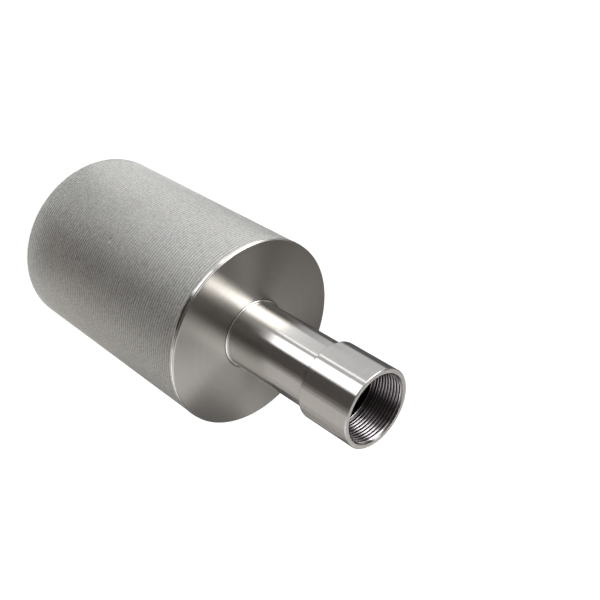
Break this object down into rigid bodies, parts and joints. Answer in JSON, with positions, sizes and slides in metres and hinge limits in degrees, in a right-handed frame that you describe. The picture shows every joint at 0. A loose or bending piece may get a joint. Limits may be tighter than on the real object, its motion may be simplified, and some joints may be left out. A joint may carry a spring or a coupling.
{
  "type": "sintered mesh filter element",
  "caption": "Cylindrical filter element of sintered woven mesh with a blind mesh end, a turned end plate and a stem with a collar and an internal outlet thread.",
  "frame": {"origin": "centre of the blind mesh face that the element stands on", "axes": "+Z along the axis from the blind end to the threaded mouth; the lengthwise seam is on the +Y side"},
  "size_m": [0.1324, 0.1324, 0.2872],
  "materials": {
    "sintered_mesh": "matte sintered woven stainless steel",
    "turned_plate": "lathe-turned satin stainless steel",
    "turned_stem": "turned and polished stainless steel",
    "weld_bead": "dressed weld metal, bright and slightly uneven"
  },
  "bodies": {
    "root": {"mesh_sleeve": "sintered_mesh", "sleeve_seam_weld": "weld_bead", "mesh_end_disc": "sintered_mesh", "blind_rim_weld": "weld_bead", "end_plate": "turned_plate", "plate_rim_weld": "weld_bead", "stem": "turned_stem", "neck_weld": "weld_bead"}
  },
  "joints": []
}
